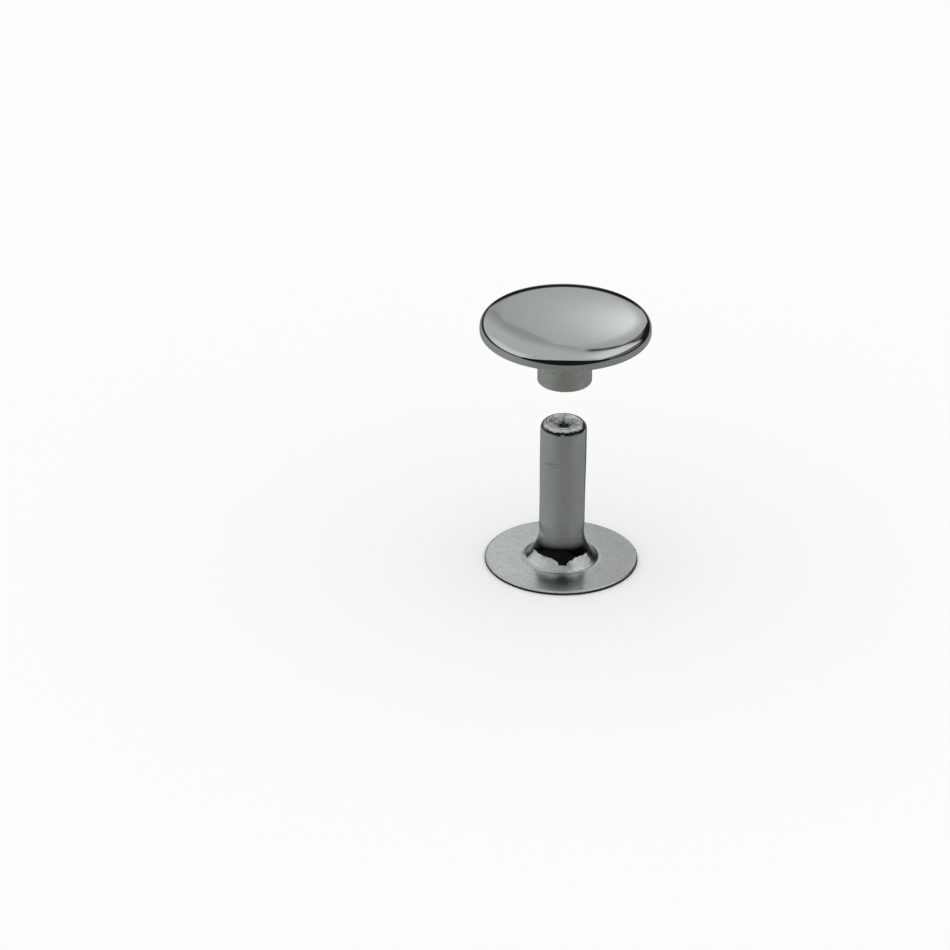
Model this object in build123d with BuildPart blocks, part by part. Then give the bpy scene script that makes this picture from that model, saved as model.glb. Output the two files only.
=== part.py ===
from build123d import *
import os

# Two-part hollow rivet: a hollow post with a thin flange and, above it on the same axis, its cap.
# The cap is a domed shell whose rim is curled round the flange of a socket tube.
# Millimetres. +Z is the rivet's axis, and the origin is the middle of the post's underside.

# Post: flange, set in a little from the edge of the cap
flange_inset = 0.45
flange_thickness = 0.22
flange_under_rounding = 0.06
flange_top_rounding = 0.10

# Post: steep collar, and above it the root from which the shank rises like a trumpet
collar_foot_radius = 1.93
collar_foot_rounding = 0.38
root_radius = 1.49
root_rise = 0.53
root_rounding = 0.15
flare_rise = 1.08
flare_rounding = 1.80

# Post: tubular shank, a little fuller towards its tip
post_height = 8.25
shank_radius = 1.20
full_radius = 1.225
full_start = 5.9
swell_length = 1.9
bore_radius = 0.95
funnel_rounding = 1.45

# Post: tip folded inwards into petals, with a small star-shaped hole between them
shoulder_depth = 0.05
shoulder_rounding = 0.42
lip_radius = 0.80
lip_rounding = 0.06
recess_radius = 0.74
recess_depth = 0.10
recess_rounding = 0.06
hole_radius = 0.24
hole_depth = 0.26
petal_thickness = 0.22
petal_rounding = 0.04
fold_corner_rounding = 0.18
petal_count = 5
pleat_start_radius = 0.68
pleat_end_radius = 0.12
pleat_outer_width = 0.30
pleat_inner_width = 0.20
pleat_outer_depth = 0.07
pleat_inner_depth = 0.30
pleat_turn = 18

# Cap: the height at which it is shown above the post, and the fit of its socket on the post
cap_gap = 2.38
socket_clearance = 0.035

# Cap: socket tube, drawn in slightly at its mouth
socket_reach = 2.76
socket_wall = 0.15
mouth_draw = 0.025
mouth_lip_height = 0.15
mouth_lip_run = 0.20
mouth_rounding = 0.11
mouth_inner_rounding = 0.04

# Cap: flange of the socket, with a raised hub and radial creases
socket_sheet = 0.18
hub_width = 0.505
hub_step = 0.14
step_run = 0.62
foot_rounding = 0.26
hub_rounding = 0.14
step_rounding = 0.30
turn_rounding = 0.14
sheet_edge_rounding = 0.05
sheet_edge_gap = 0.06
crease_count = 9
crease_width = 0.36
crease_height = 0.08
crease_end_gap = 0.05
crease_turn = 17

# Cap: domed shell with a curled rim
cap_radius = 4.50
shell_sheet = 0.20
rim_height = 0.70
face_shoulder_width = 1.20
crown_drop = 0.14
face_rise = 0.44
face_edge_rounding = 0.50
face_inner_rounding = 0.16
curl_width = 0.85
curl_rounding = 0.17
curl_inner_rounding = 0.04
curl_end_rounding = 0.08

# Levels and radii that follow from those above
flange_radius = cap_radius - flange_inset
tip_shoulder = post_height - shoulder_depth
recess_floor = post_height - recess_depth
hole_top = post_height - hole_depth
hole_bottom = hole_top - petal_thickness
mouth_level = post_height + cap_gap
mouth_radius = full_radius + socket_clearance
socket_bore = mouth_radius + mouth_draw
tube_radius = socket_bore + socket_wall
hub_radius = tube_radius + hub_width
curl_level = mouth_level + socket_reach
curl_top = curl_level + shell_sheet
curl_inner = cap_radius - curl_width
hub_level = curl_top - hub_step
shell_inner = cap_radius - shell_sheet
crown_radius = cap_radius - face_shoulder_width
rim_level = curl_level + rim_height
crown_level = rim_level + face_rise


def petal_level(radius):
    """Height of the folded petals' upper surface at a radius from the axis."""
    share = (radius - hole_radius) / (recess_radius - hole_radius)
    return hole_top + share * (recess_floor - hole_top)


def radial_plane(radius, level):
    """Plane across a radius, with its own Y axis upwards."""
    return Plane((radius, 0, level), x_dir=(0, 1, 0), z_dir=(1, 0, 0))


def corner(section, across, up):
    """Corner of a section that is nearest to a place in it."""
    return section.vertices().sort_by_distance((across, up))[0]


# One pleat between two petals: a V that deepens and narrows towards the axis
with BuildPart() as pleat:
    with BuildSketch(radial_plane(pleat_start_radius, petal_level(pleat_start_radius))):
        with BuildLine():
            Polyline(
                (-pleat_outer_width / 2, pleat_outer_depth),
                (pleat_outer_width / 2, pleat_outer_depth),
                (0, -pleat_outer_depth),
                close=True,
            )
        make_face()
    with BuildSketch(radial_plane(pleat_end_radius, petal_level(pleat_end_radius))):
        with BuildLine():
            Polyline(
                (-pleat_inner_width / 2, pleat_outer_depth),
                (pleat_inner_width / 2, pleat_outer_depth),
                (0, -pleat_inner_depth),
                close=True,
            )
        make_face()
    loft()

# Hollow post
with BuildPart() as post:
    # Section of the one drawn sheet, from the underside round to the tip and back down the bore
    with BuildSketch(Plane.XZ) as post_section:
        with BuildLine():
            FilletPolyline(
                (bore_radius, 0),
                (flange_radius, 0),
                (flange_radius, flange_thickness),
                (collar_foot_radius, flange_thickness),
                (root_radius, flange_thickness + root_rise),
                (shank_radius, flange_thickness + flare_rise),
                (shank_radius, full_start - swell_length),
                (full_radius, full_start),
                (full_radius, tip_shoulder),
                (lip_radius, post_height),
                (recess_radius, recess_floor),
                (hole_radius, hole_top),
                (hole_radius, hole_bottom),
                (bore_radius, hole_bottom),
                radius=[
                    funnel_rounding,
                    flange_under_rounding,
                    flange_top_rounding,
                    collar_foot_rounding,
                    root_rounding,
                    flare_rounding,
                    0,
                    0,
                    shoulder_rounding,
                    lip_rounding,
                    recess_rounding,
                    petal_rounding,
                    petal_rounding,
                    fold_corner_rounding,
                ],
                close=True,
            )
        make_face()
    revolve(axis=Axis.Z)
    # Pleats pressed between the petals
    with PolarLocations(0, petal_count, start_angle=pleat_turn):
        add(pleat.part, mode=Mode.SUBTRACT)

# Socket of the cap
with BuildPart() as cap_socket:
    with BuildSketch(Plane.XZ) as socket_section:
        with BuildLine():
            FilletPolyline(
                (mouth_radius, mouth_level),
                (tube_radius, mouth_level),
                (tube_radius, hub_level),
                (hub_radius, hub_level),
                (hub_radius + step_run, curl_top),
                (shell_inner - sheet_edge_gap, curl_top),
                (shell_inner - sheet_edge_gap, curl_top + socket_sheet),
                (hub_radius + step_run, curl_top + socket_sheet),
                (hub_radius, hub_level + socket_sheet),
                (socket_bore, hub_level + socket_sheet),
                (socket_bore, mouth_level + mouth_lip_height + mouth_lip_run),
                (mouth_radius, mouth_level + mouth_lip_height),
                radius=[
                    mouth_inner_rounding,
                    mouth_rounding,
                    foot_rounding,
                    hub_rounding,
                    step_rounding,
                    sheet_edge_rounding,
                    sheet_edge_rounding,
                    step_rounding,
                    hub_rounding,
                    turn_rounding,
                    0,
                    0,
                ],
                close=True,
            )
        make_face()
    revolve(axis=Axis.Z)
    # Radial creases of the flange, from the hub to just inside the curled rim
    with BuildSketch(radial_plane(hub_radius, curl_top)):
        with BuildLine():
            Polyline(
                (-crease_width / 2, socket_sheet / 2),
                (-crease_width / 2, 0),
                (0, -crease_height),
                (crease_width / 2, 0),
                (crease_width / 2, socket_sheet / 2),
                close=True,
            )
        make_face()
    crease = extrude(amount=curl_inner - crease_end_gap - hub_radius, mode=Mode.PRIVATE)
    with PolarLocations(0, crease_count, start_angle=crease_turn):
        add(crease)

# Shell of the cap
with BuildPart() as cap_shell:
    with BuildSketch(Plane.XZ) as shell_section:
        with BuildLine():
            crown = TangentArc(
                (0, crown_level),
                (crown_radius, crown_level - crown_drop),
                tangent=(1, 0),
            )
            TangentArc(crown @ 1, (cap_radius, rim_level), tangent=crown % 1)
            inner_crown = TangentArc(
                (0, crown_level - shell_sheet),
                (crown_radius, crown_level - crown_drop - shell_sheet),
                tangent=(1, 0),
            )
            TangentArc(
                inner_crown @ 1,
                (shell_inner, rim_level - shell_sheet),
                tangent=inner_crown % 1,
            )
            Line((0, crown_level), (0, crown_level - shell_sheet))
            Polyline(
                (cap_radius, rim_level),
                (cap_radius, curl_level),
                (curl_inner, curl_level),
                (curl_inner, curl_top),
                (shell_inner, curl_top),
                (shell_inner, rim_level - shell_sheet),
            )
        make_face()
        fillet(corner(shell_section, cap_radius, rim_level), face_edge_rounding)
        fillet(corner(shell_section, shell_inner, rim_level - shell_sheet), face_inner_rounding)
        fillet(corner(shell_section, cap_radius, curl_level), curl_rounding)
        fillet(corner(shell_section, shell_inner, curl_top), curl_inner_rounding)
        fillet(corner(shell_section, curl_inner, curl_level), curl_end_rounding)
        fillet(corner(shell_section, curl_inner, curl_top), curl_end_rounding)
    revolve(axis=Axis.Z)

post.part.label = "post"
cap_socket.part.label = "cap_socket"
cap_shell.part.label = "cap_shell"

os.makedirs("parts", exist_ok=True)
export_step(post.part, "parts/post.step")
export_step(cap_socket.part, "parts/cap_socket.step")
export_step(cap_shell.part, "parts/cap_shell.step")
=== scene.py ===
"""Looks of a two-part hollow rivet: a hollow post and, above it on the same axis, its domed cap.

Every length is in metres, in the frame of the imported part: +Z is the rivet's axis, and the origin
is the middle of the post's underside.
"""

import logging
import math
from collections.abc import Iterable, Sequence
from dataclasses import dataclass
from enum import Enum

import bmesh
import bpy
from mathutils import Matrix, Vector


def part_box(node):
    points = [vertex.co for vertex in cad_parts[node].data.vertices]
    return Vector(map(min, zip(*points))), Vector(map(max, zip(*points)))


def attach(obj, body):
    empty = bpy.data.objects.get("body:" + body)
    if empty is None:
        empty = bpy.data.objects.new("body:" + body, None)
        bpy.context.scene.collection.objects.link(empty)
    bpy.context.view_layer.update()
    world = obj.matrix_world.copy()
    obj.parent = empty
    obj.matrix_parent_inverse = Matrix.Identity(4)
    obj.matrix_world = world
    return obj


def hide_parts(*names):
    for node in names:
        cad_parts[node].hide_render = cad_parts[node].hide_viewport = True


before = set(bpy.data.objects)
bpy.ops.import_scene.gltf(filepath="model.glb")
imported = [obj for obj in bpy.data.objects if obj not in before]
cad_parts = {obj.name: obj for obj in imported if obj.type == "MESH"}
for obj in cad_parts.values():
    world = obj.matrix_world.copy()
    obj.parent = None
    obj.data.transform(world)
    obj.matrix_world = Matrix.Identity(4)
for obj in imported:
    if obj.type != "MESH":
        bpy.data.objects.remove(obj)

MM = 0.001
DEGREE = math.pi / 180
MERGE_DISTANCE = 1e-4 * MM
FINE_RUN = 0.08 * MM
COARSE_RUN = 0.6 * MM
ARC_STEP = 9 * DEGREE
LEAST_ARC_STEPS = 3
FACETS = 240
FINE_FACETS = 360
UNDER_ATTRIBUTE = "under"
UNDER_GAIN = 2.0
FOLD_ATTRIBUTE = "fold"
NOISE_MEAN = 0.5
STAIN_SCALE = 1700.0
WANDER_SCALE = 2600.0
# How dark the painted reflection round the post's root and tip shoulder is.
PAINTED_REFLECTION_TONE = 0.98
FLANGE_TOP = (0.25 * MM, 0.37 * MM)
TIP_START = (7.75 * MM, 7.95 * MM)
BLACK = (0.0, 0.0, 0.0)
WHITE = (1.0, 1.0, 1.0, 1.0)

log = logging.getLogger("rivet")


# Shader maths


class Value:
    """A number in a node tree, with Python's arithmetic."""

    def __init__(self, tree: bpy.types.NodeTree, socket: bpy.types.NodeSocket) -> None:
        """Wraps an output socket.

        Args:
            tree: the node tree that the socket belongs to.
            socket: the output that gives the number.
        """
        self.tree = tree
        self.socket = socket

    def combine(self, operation: str, *terms: "Value | float") -> "Value":
        """Adds one Math node.

        Args:
            operation: the Math node's operation.
            terms: its inputs, in order.

        Returns:
            The node's result.
        """
        node = self.tree.nodes.new("ShaderNodeMath")
        node.operation = operation
        for place, term in zip(node.inputs, terms):
            if isinstance(term, Value):
                self.tree.links.new(term.socket, place)
            else:
                place.default_value = term
        return Value(self.tree, node.outputs[0])

    def __add__(self, other: "Value | float") -> "Value":
        """Sum."""
        return self.combine("ADD", self, other)

    def __radd__(self, other: float) -> "Value":
        """Sum, from the right."""
        return self.combine("ADD", other, self)

    def __sub__(self, other: "Value | float") -> "Value":
        """Difference."""
        return self.combine("SUBTRACT", self, other)

    def __rsub__(self, other: float) -> "Value":
        """Difference, from the right."""
        return self.combine("SUBTRACT", other, self)

    def __mul__(self, other: "Value | float") -> "Value":
        """Product."""
        return self.combine("MULTIPLY", self, other)

    def __rmul__(self, other: float) -> "Value":
        """Product, from the right."""
        return self.combine("MULTIPLY", other, self)

    def __truediv__(self, other: "Value | float") -> "Value":
        """Quotient."""
        return self.combine("DIVIDE", self, other)

    def __pow__(self, other: float) -> "Value":
        """Power."""
        return self.combine("POWER", self, other)

    def __neg__(self) -> "Value":
        """Opposite."""
        return self.combine("MULTIPLY", self, -1.0)

    def least(self, other: "Value | float") -> "Value":
        """The smaller of two numbers."""
        return self.combine("MINIMUM", self, other)

    def most(self, other: "Value | float") -> "Value":
        """The larger of two numbers."""
        return self.combine("MAXIMUM", self, other)

    def bell(self, centre: "Value | float", width: "Value | float") -> "Value":
        """A bell curve: 1 at its centre, falling to 0 in a few widths."""
        share = (self - centre) / width
        return self.combine("EXPONENT", -(share * share))


class Detail(Enum):
    """How finely a noise is broken up."""

    SMOOTH = 1.0
    PLAIN = 2.0
    ROUGH = 3.0
    RAGGED = 4.0


class Nodes:
    """Builds one node tree, by one method for every kind of node."""

    def __init__(self, tree: bpy.types.NodeTree) -> None:
        """Empties a tree to build in.

        Args:
            tree: the node tree of a material or a world.
        """
        self.tree = tree
        tree.nodes.clear()

    def add(self, kind: str, settings: dict | None = None, **inputs: object) -> bpy.types.Node:
        """Adds a node.

        Args:
            kind: the node's type.
            settings: its properties, which are set first.
            inputs: values or links of its sockets, by name, with spaces as underscores.

        Returns:
            The new node.
        """
        node = self.tree.nodes.new(kind)
        for name, setting in (settings or {}).items():
            setattr(node, name, setting)
        for name, value in inputs.items():
            title = name.replace("_", " ")
            place = next(s for s in node.inputs if s.enabled and s.name == title)
            if isinstance(value, Value):
                self.tree.links.new(value.socket, place)
            elif isinstance(value, bpy.types.NodeSocket):
                self.tree.links.new(value, place)
            else:
                place.default_value = value
        return node

    def value(self, node: bpy.types.Node, output: str | int = 0) -> Value:
        """One output of a node, as a number."""
        return Value(self.tree, node.outputs[output])

    def step(self, amount: Value, low: float | Value, high: float | Value) -> Value:
        """A smooth step.

        Args:
            amount: what is compared.
            low: where the step starts, at 0.
            high: where it is full, at 1.

        Returns:
            The step, from 0 to 1.
        """
        node = self.add(
            "ShaderNodeMapRange",
            {"interpolation_type": "SMOOTHSTEP"},
            Value=amount,
            From_Min=low,
            From_Max=high,
        )
        return self.value(node)

    def band(self, amount: Value, low: float, high: float, soft: float) -> Value:
        """A band with soft edges.

        Args:
            amount: what is compared.
            low: lower limit.
            high: upper limit.
            soft: half the width of each edge.

        Returns:
            1 between the limits, and 0 outside them.
        """
        rise = self.step(amount, low - soft, low + soft)
        fall = self.step(amount, high - soft, high + soft)
        return rise * (1 - fall)

    def attribute(self, name: str) -> Value:
        """A number that the mesh keeps for each of its points."""
        return self.value(self.add("ShaderNodeAttribute", {"attribute_name": name}), "Fac")

    def backfacing(self) -> Value:
        """1 on a face seen from behind, and 0 from the front."""
        return self.value(self.add("ShaderNodeNewGeometry"), "Backfacing")

    def noise(
        self, place: bpy.types.NodeSocket, scale: float, detail: Detail = Detail.PLAIN
    ) -> Value:
        """Noise from 0 to 1.

        Args:
            place: the coordinates.
            scale: cells to the metre.
            detail: how finely it is broken up.

        Returns:
            The noise.
        """
        return self.value(
            self.add("ShaderNodeTexNoise", Vector=place, Scale=scale, Detail=detail.value)
        )

    def streaks(
        self, place: bpy.types.NodeSocket, squeeze: tuple[float, float, float], scale: float
    ) -> Value:
        """Noise drawn out into lines.

        Args:
            place: the coordinates.
            squeeze: factor of each axis, small along the lines.
            scale: cells to the metre across the lines.

        Returns:
            The noise, from 0 to 1.
        """
        drawn = self.add("ShaderNodeMapping", Vector=place, Scale=squeeze)
        return self.noise(drawn.outputs[0], scale)

    def blend(
        self,
        share: Value,
        first: tuple[float, float, float],
        second: tuple[float, float, float],
    ) -> bpy.types.NodeSocket:
        """Mixes two colours.

        Args:
            share: how much of the second colour there is.
            first: the first colour.
            second: the second colour.

        Returns:
            The mixed colour.
        """
        mix = self.add(
            "ShaderNodeMix", {"data_type": "RGBA"}, Factor=share, A=(*first, 1.0), B=(*second, 1.0)
        )
        return mix.outputs["Result"]

    def see_through(self, shader: bpy.types.Node, share: Value) -> None:
        """Ends the tree with a shader that is clear where a share is 1.

        Args:
            shader: the shader of the rest.
            share: how clear it is, from 0 to 1.
        """
        clear = self.add("ShaderNodeBsdfTransparent")
        mix = self.add("ShaderNodeMixShader", Fac=share)
        self.tree.links.new(shader.outputs[0], mix.inputs[1])
        self.tree.links.new(clear.outputs[0], mix.inputs[2])
        self.add("ShaderNodeOutputMaterial", Surface=mix.outputs[0])


# Finishes


class Plating(Enum):
    """How the nickel of a piece was finished."""

    POLISHED = "nickel_polished"
    BRIGHT = "nickel_bright"
    SATIN = "nickel_satin"


@dataclass
class Skin:
    """What varies over a surface while its material is built.

    Attributes:
        tone: share of the metal's colour, up to 1.
        roughness: of the surface.
        height: of the bumps, in metres.
    """

    tone: Value
    roughness: Value
    height: Value

    def darken(self, share: Value) -> None:
        """Takes a share off the tone."""
        self.tone = self.tone * (1 - share)


class Spot:
    """Where a point of a surface lies, in the frame of the part."""

    def __init__(self, nodes: Nodes) -> None:
        """Reads the Object coordinates.

        Args:
            nodes: the material's nodes.
        """
        self.place = nodes.add("ShaderNodeTexCoord").outputs["Object"]
        parts = nodes.add("ShaderNodeSeparateXYZ", Vector=self.place)
        self.east, self.north, self.up = (nodes.value(parts, axis) for axis in "XYZ")
        self.across = (self.east * self.east + self.north * self.north) ** 0.5


@dataclass(frozen=True)
class Mark:
    """Something that making, handling or soil left on a region of a surface, and also painted shade
    and painted reflections.

    In every mark, a span of two numbers is where a change starts and where it is full, a hump of
    two is the middle and the width of a bell curve, and a scale is in cells to the metre.
    """

    def apply(self, nodes: Nodes, spot: Spot, skin: Skin) -> None:
        """Adds the mark to a surface.

        Args:
            nodes: the material's nodes.
            spot: where the point lies.
            skin: the surface so far.
        """
        raise NotImplementedError


@dataclass(frozen=True)
class Nickel:
    """A nickel-plated surface.

    Attributes:
        plating: the finish, which also names the record's slot.
        tint: colour of the metal.
        roughness: of the clean surface.
        marks: what was left on it, and its painted shade and reflections, in order.
        cloud: how much the roughness wanders.
        cloud_tone: how much the same clouds darken.
        cloud_scale: cells to the metre of the clouds.
        grain_height: height of the grain, in metres.
        grain_scale: cells to the metre of the grain.
    """

    plating: Plating
    tint: tuple[float, float, float]
    roughness: float
    marks: tuple[Mark, ...]
    cloud: float = 0.04
    cloud_tone: float = 0.06
    cloud_scale: float = 900.0
    grain_height: float = 0.00004 * MM
    grain_scale: float = 9000.0

    def material(self) -> bpy.types.Material:
        """Builds the finish as a material.

        Returns:
            The new material, named for its plating.
        """
        made = bpy.data.materials.new(self.plating.value)
        made.use_nodes = True
        nodes = Nodes(made.node_tree)
        spot = Spot(nodes)
        cloud = nodes.noise(spot.place, self.cloud_scale, Detail.ROUGH)
        skin = Skin(
            tone=1 - self.cloud_tone * cloud,
            roughness=self.roughness + 2 * self.cloud * (cloud - NOISE_MEAN),
            height=self.grain_height * nodes.noise(spot.place, self.grain_scale),
        )
        for mark in self.marks:
            mark.apply(nodes, spot, skin)
        bump = nodes.add("ShaderNodeBump", Strength=1.0, Distance=1.0, Height=skin.height)
        colour = nodes.blend(skin.tone, BLACK, self.tint)
        shader = nodes.add(
            "ShaderNodeBsdfPrincipled",
            Base_Color=colour,
            Metallic=1.0,
            Roughness=skin.roughness,
            Normal=bump.outputs["Normal"],
        )
        nodes.add("ShaderNodeOutputMaterial", Surface=shader.outputs[0])
        return made


@dataclass(frozen=True)
class Specks(Mark):
    """Dark specks in the polished face.

    Attributes:
        scale: of the cells in which a speck may lie.
        size: radius of a speck, as a share of a cell.
        chance: span of the cell's own random number above which it has a speck.
        tone: how much darker a speck is.
        roughness: how much rougher it is.
    """

    scale: float = 1300.0
    size: float = 0.08
    chance: tuple[float, float] = (0.62, 0.64)
    tone: float = 0.35
    roughness: float = 0.15

    def apply(self, nodes: Nodes, spot: Spot, skin: Skin) -> None:
        """Adds the specks.

        Args:
            nodes: the material's nodes.
            spot: where the point lies.
            skin: the surface so far.
        """
        cells = nodes.add("ShaderNodeTexVoronoi", Vector=spot.place, Scale=self.scale)
        colour = nodes.add("ShaderNodeSeparateColor", Color=cells.outputs["Color"])
        near = 1 - nodes.step(nodes.value(cells, "Distance"), self.size / 2, self.size)
        speck = near * nodes.step(nodes.value(colour, "Red"), *self.chance)
        skin.darken(self.tone * speck)
        skin.roughness = skin.roughness + self.roughness * speck


@dataclass(frozen=True)
class Wiping(Mark):
    """Faint marks from wiping the polished face from side to side.

    Attributes:
        squeeze: factor of each axis, small along the marks.
        scale: across the marks.
        tone: how much they darken.
    """

    squeeze: tuple[float, float, float] = (0.06, 1.0, 1.0)
    scale: float = 5200.0
    tone: float = 0.05

    def apply(self, nodes: Nodes, spot: Spot, skin: Skin) -> None:
        """Adds the wiping marks."""
        skin.darken(self.tone * nodes.streaks(spot.place, self.squeeze, self.scale))


@dataclass(frozen=True)
class DrawnLines(Mark):
    """Lines along the axis, which drawing left in the sheet.

    Attributes:
        squeeze: factor of each axis, small along the lines.
        scale: across the lines.
        height: of the lines, in metres.
        tone: how much they darken.
    """

    squeeze: tuple[float, float, float] = (1.0, 1.0, 0.04)
    scale: float = 12000.0
    height: float = 0.00012 * MM
    tone: float = 0.0

    def apply(self, nodes: Nodes, spot: Spot, skin: Skin) -> None:
        """Adds the lines.

        Args:
            nodes: the material's nodes.
            spot: where the point lies.
            skin: the surface so far.
        """
        lines = nodes.streaks(spot.place, self.squeeze, self.scale)
        skin.height = skin.height + self.height * lines
        if self.tone:
            skin.darken(self.tone * lines)


@dataclass(frozen=True)
class Mottle(Mark):
    """The socket's mottled, slightly matt skin.

    Attributes:
        scale: of the spots.
        clean: noise up to which the metal stays clean.
        tone: how much the spots darken.
        roughness: how much rougher they are.
        height: of the matt skin, in metres.
    """

    scale: float = 4200.0
    clean: float = 0.42
    tone: float = 0.55
    roughness: float = 0.12
    height: float = 0.0012 * MM

    def apply(self, nodes: Nodes, spot: Spot, skin: Skin) -> None:
        """Adds the mottling.

        Args:
            nodes: the material's nodes.
            spot: where the point lies.
            skin: the surface so far.
        """
        spots = nodes.noise(spot.place, self.scale, Detail.RAGGED)
        skin.darken(self.tone * (spots - self.clean).most(0.0))
        skin.roughness = skin.roughness + self.roughness * spots
        skin.height = skin.height + self.height * spots


@dataclass(frozen=True)
class FlangeGrain(Mark):
    """The flange's matt grain, and the slight dish that its reflections show.

    Attributes:
        top: span of heights over which the flange's look ends.
        scale: of the grain.
        clean: noise up to which the metal stays clean.
        tone: how much the grain darkens.
        roughness: how much rougher it is.
        height: of the grain, in metres.
        dish_start: distance from the axis at which the flange starts to dish upwards.
        dish: height of the dish per square metre.
    """

    top: tuple[float, float] = FLANGE_TOP
    scale: float = 10000.0
    clean: float = 0.40
    tone: float = 0.8
    roughness: float = 0.10
    height: float = 0.0008 * MM
    dish_start: float = 2.1 * MM
    dish: float = 5.5

    def apply(self, nodes: Nodes, spot: Spot, skin: Skin) -> None:
        """Adds the grain and the dish.

        Args:
            nodes: the material's nodes.
            spot: where the point lies.
            skin: the surface so far.
        """
        flange = 1 - nodes.step(spot.up, *self.top)
        grain = nodes.noise(spot.place, self.scale, Detail.RAGGED)
        rise = self.dish * (spot.across * spot.across - self.dish_start**2)
        skin.darken(flange * self.tone * (grain - self.clean).most(0.0))
        skin.roughness = skin.roughness + self.roughness * flange * grain
        skin.height = skin.height + flange * rise + self.height * flange * grain


@dataclass(frozen=True)
class FlangeTarnishAndPaintedShade(Mark):
    """Tarnish of the flange, with painted shade and a painted reflection: an even tarnish, painted
    shade on its east side, and the shank's painted reflection as dark blots in front of the collar.

    Attributes:
        top: span of heights over which the flange's look ends.
        tarnish: how much darker the whole flange is.
        side_shade: painted shade, how much darker its east side is.
        side: span of that side.
        blot: how much darker the blots of painted reflection are.
        blot_scale: of the blots.
        blot_east: hump of the blots from west to east.
        blot_north: span over which they end towards the post.
    """

    top: tuple[float, float] = FLANGE_TOP
    tarnish: float = 0.04
    side_shade: float = 0.12
    side: tuple[float, float] = (0.0, 2.5 * MM)
    blot: float = 0.16
    blot_scale: float = 1800.0
    blot_east: tuple[float, float] = (-0.2 * MM, 1.3 * MM)
    blot_north: tuple[float, float] = (-2.5 * MM, -1.7 * MM)

    def apply(self, nodes: Nodes, spot: Spot, skin: Skin) -> None:
        """Adds the tarnish, the painted shade and the painted reflection.

        Args:
            nodes: the material's nodes.
            spot: where the point lies.
            skin: the surface so far.
        """
        flange = 1 - nodes.step(spot.up, *self.top)
        blots = nodes.noise(spot.place, self.blot_scale, Detail.ROUGH)
        front = spot.east.bell(*self.blot_east) * (1 - nodes.step(spot.north, *self.blot_north))
        side = nodes.step(spot.east, *self.side)
        # Even tarnish, painted shade on the east side, and the shank's painted reflection in front.
        skin.darken(flange * (self.tarnish + self.side_shade * side + self.blot * front * blots))


@dataclass(frozen=True)
class Scratches(Mark):
    """Short scratches across the shank: one group in front, and faint ones all over.

    Attributes:
        group_up: hump of the group's height.
        group_east: hump of the group from west to east.
        front: span over which the group ends towards the back.
        squeeze: factor of each axis, small along the scratches.
        scale: across the scratches.
        edge: span of the noise that a scratch cuts.
        tone: how much darker the group is.
        faint: how much darker the other scratches are.
    """

    group_up: tuple[float, float] = (6.18 * MM, 0.15 * MM)
    group_east: tuple[float, float] = (-0.5 * MM, 0.42 * MM)
    front: tuple[float, float] = (-0.4 * MM, 0.0)
    squeeze: tuple[float, float, float] = (0.14, 0.14, 1.0)
    scale: float = 13000.0
    edge: tuple[float, float] = (0.52, 0.66)
    tone: float = 0.5
    faint: float = 0.05

    def apply(self, nodes: Nodes, spot: Spot, skin: Skin) -> None:
        """Adds the scratches.

        Args:
            nodes: the material's nodes.
            spot: where the point lies.
            skin: the surface so far.
        """
        group = spot.up.bell(*self.group_up) * spot.east.bell(*self.group_east)
        group = group * (1 - nodes.step(spot.north, *self.front))
        scratch = nodes.step(nodes.streaks(spot.place, self.squeeze, self.scale), *self.edge)
        skin.darken((self.tone * group + self.faint) * scratch)


@dataclass(frozen=True)
class ShankTarnish(Mark):
    """Tarnish of the shank, in bands along it and in stains.

    Attributes:
        levels: lowest and highest level, and half the width of their soft edges.
        tarnish: how much darker the shank is.
        bands: how much the bands change it.
        band_squeeze: factor of each axis, small along the bands.
        band_scale: across the bands.
        stains: how much the stains change it.
        stain_scale: of the stains.
    """

    levels: tuple[float, float, float] = (0.35 * MM, 7.85 * MM, 0.1 * MM)
    tarnish: float = 0.10
    bands: float = 0.25
    band_squeeze: tuple[float, float, float] = (1.0, 1.0, 0.12)
    band_scale: float = 1500.0
    stains: float = 0.12
    stain_scale: float = STAIN_SCALE

    def apply(self, nodes: Nodes, spot: Spot, skin: Skin) -> None:
        """Adds the tarnish.

        Args:
            nodes: the material's nodes.
            spot: where the point lies.
            skin: the surface so far.
        """
        shank = nodes.band(spot.up, *self.levels)
        bands = nodes.streaks(spot.place, self.band_squeeze, self.band_scale) - NOISE_MEAN
        stains = nodes.noise(spot.place, self.stain_scale, Detail.RAGGED)
        skin.darken(shank * (self.tarnish + self.bands * bands + self.stains * stains))


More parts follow.
